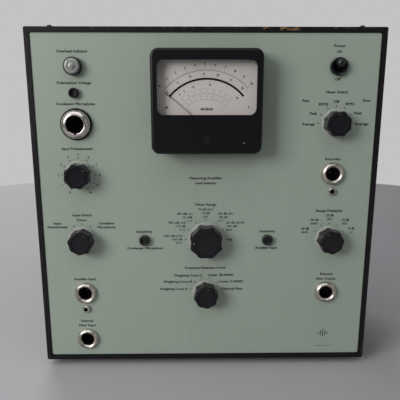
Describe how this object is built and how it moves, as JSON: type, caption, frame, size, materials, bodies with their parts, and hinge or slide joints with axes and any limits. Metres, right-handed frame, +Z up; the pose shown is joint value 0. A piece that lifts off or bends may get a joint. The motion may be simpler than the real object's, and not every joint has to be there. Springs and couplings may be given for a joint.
{
  "type": "sound level measuring amplifier",
  "caption": "Bench measuring amplifier in a black wooden case: grey-green panel with a wide moving-coil meter, fluted knobs, microphone socket, jacks and screwdriver adjusters.",
  "frame": {"origin": "middle of the underside of the whole object's box, on the surface that it stands on", "axes": "+X to the right of someone facing the panel, +Y from the panel to the back, +Z up"},
  "size_m": [0.38, 0.234, 0.4],
  "materials": {
    "covering": "plywood under black leathercloth",
    "rubber": "moulded black rubber",
    "black_metal": "black lacquer",
    "strap": "black strap leather, worn at the edges",
    "plated_steel": "nickel-plated, a little tarnished",
    "panel": "grey-green semi-gloss enamel",
    "zinc_steel": "zinc plated",
    "bakelite": "black moulded phenolic",
    "clear_skirt": "clear acrylic, a little yellowed",
    "window_glass": "clear flat glass",
    "dial_paint": "off-white matt enamel",
    "magnet_iron": "ground magnet alloy",
    "pointer_aluminium": "thin aluminium, blackened",
    "shaft_steel": "turned steel",
    "blackened_steel": "blackened steel",
    "brass_nickel": "nickel-plated brass",
    "phenolic": "brown paper phenolic",
    "lamp_glass": "clear moulded lens",
    "bulb_glass": "small lamp on a brass cap",
    "valve_glass": "blown glass with a silvered top",
    "can_aluminium": "drawn can",
    "transformer_iron": "laminated iron core, black lacquer"
  },
  "bodies": {
    "case": {"case_top": "covering", "case_bottom": "covering", "case_sides": "covering", "back_cover": "black_metal", "screws": "plated_steel", "feet": "rubber", "lid_pegs": "black_metal", "handle_strap": "strap", "handle_caps": "plated_steel", "front_panel": "panel", "chassis_deck": "zinc_steel", "chassis_brackets": "zinc_steel", "power_transformer": "transformer_iron", "valves": "valve_glass", "capacitors": "can_aluminium", "inlet_and_fuse_holder": "bakelite", "contact_pins": "brass_nickel", "meter_case": "bakelite", "meter_glass": "window_glass", "meter_dial": "dial_paint", "meter_base": "bakelite", "meter_magnet": "magnet_iron", "control_bushes": "brass_nickel", "wafer_switches": "phenolic", "potentiometer_cans": "zinc_steel", "adjuster_collars": "bakelite", "coax_shells": "plated_steel", "socket_inserts": "phenolic", "ground_sockets": "brass_nickel", "microphone_ring": "bakelite", "microphone_shell": "plated_steel", "lamp_bezel": "bakelite", "lamp_lens": "lamp_glass", "lamp_bulb": "bulb_glass", "power_switch": "bakelite"},
    "input_potentiometer_control": {"input_potentiometer_knob": "bakelite", "input_potentiometer_skirt": "clear_skirt", "input_potentiometer_shaft": "shaft_steel"},
    "input_switch_control": {"input_switch_knob": "bakelite", "input_switch_skirt": "clear_skirt", "input_switch_shaft": "shaft_steel"},
    "meter_switch_control": {"meter_switch_knob": "bakelite", "meter_switch_skirt": "clear_skirt", "meter_switch_shaft": "shaft_steel"},
    "range_multiplier_control": {"range_multiplier_knob": "bakelite", "range_multiplier_skirt": "clear_skirt", "range_multiplier_shaft": "shaft_steel"},
    "frequency_switch_control": {"frequency_switch_knob": "bakelite", "frequency_switch_skirt": "clear_skirt", "frequency_switch_shaft": "shaft_steel"},
    "meter_range_control": {"meter_range_knob": "bakelite", "meter_range_skirt": "clear_skirt", "meter_range_shaft": "shaft_steel"},
    "polarization_adjuster_screw": {"polarization_adjuster": "blackened_steel"},
    "microphone_adjuster_screw": {"microphone_adjuster": "blackened_steel"},
    "amplifier_adjuster_screw": {"amplifier_adjuster": "blackened_steel"},
    "meter_movement": {"meter_pointer": "pointer_aluminium"},
    "meter_zero_adjuster": {"meter_zero_screw": "bakelite"},
    "power_toggle": {"power_lever": "bakelite"},
    "fuse_carrier": {"fuse_cap": "bakelite"}
  },
  "joints": [
    {"name": "input_potentiometer_turn", "type": "hinge", "parent": "case", "child": "input_potentiometer_control", "pos_m": [-0.1404, -0.092, 0.2324], "axis": [0, 1, 0], "range_deg": [-200, 100]},
    {"name": "input_switch_turn", "type": "hinge", "parent": "case", "child": "input_switch_control", "pos_m": [-0.1404, -0.092, 0.1575], "axis": [0, 1, 0], "range_deg": [-60, 0]},
    {"name": "meter_switch_turn", "type": "hinge", "parent": "case", "child": "meter_switch_control", "pos_m": [0.1404, -0.092, 0.2885], "axis": [0, 1, 0], "range_deg": [-90, 90]},
    {"name": "range_multiplier_turn", "type": "hinge", "parent": "case", "child": "range_multiplier_control", "pos_m": [0.1404, -0.092, 0.1575], "axis": [0, 1, 0], "range_deg": [-30, 90]},
    {"name": "frequency_switch_turn", "type": "hinge", "parent": "case", "child": "frequency_switch_control", "pos_m": [0, -0.092, 0.0925], "axis": [0, 1, 0], "range_deg": [-90, 60]},
    {"name": "meter_range_turn", "type": "hinge", "parent": "case", "child": "meter_range_control", "pos_m": [0, -0.092, 0.1575], "axis": [0, 1, 0], "range_deg": [0, 180]},
    {"name": "polarization_adjuster_turn", "type": "hinge", "parent": "case", "child": "polarization_adjuster_screw", "pos_m": [-0.1409, -0.092, 0.3207], "axis": [0, 1, 0], "range_deg": [-140, 140]},
    {"name": "microphone_adjuster_turn", "type": "hinge", "parent": "case", "child": "microphone_adjuster_screw", "pos_m": [-0.0699, -0.092, 0.1571], "axis": [0, 1, 0], "range_deg": [-140, 140]},
    {"name": "amplifier_adjuster_turn", "type": "hinge", "parent": "case", "child": "amplifier_adjuster_screw", "pos_m": [0.0699, -0.092, 0.1571], "axis": [0, 1, 0], "range_deg": [-140, 140]},
    {"name": "meter_deflection", "type": "hinge", "parent": "case", "child": "meter_movement", "pos_m": [0, -0.092, 0.2845], "axis": [0, 1, 0], "range_deg": [0, 98], "stiffness_Nm_per_rad": 0.001},
    {"name": "meter_zero_turn", "type": "hinge", "parent": "case", "child": "meter_zero_adjuster", "pos_m": [0, -0.092, 0.273], "axis": [0, 1, 0], "range_deg": [-90, 90]},
    {"name": "power_lever_swing", "type": "hinge", "parent": "case", "child": "power_toggle", "pos_m": [0.1404, -0.088, 0.348], "axis": [1, 0, 0], "range_deg": [0, 32]},
    {"name": "fuse_cap_turn", "type": "hinge", "parent": "case", "child": "fuse_carrier", "pos_m": [-0.07, 0.105, 0.07], "axis": [0, 1, 0], "range_deg": [0, 90]}
  ]
}
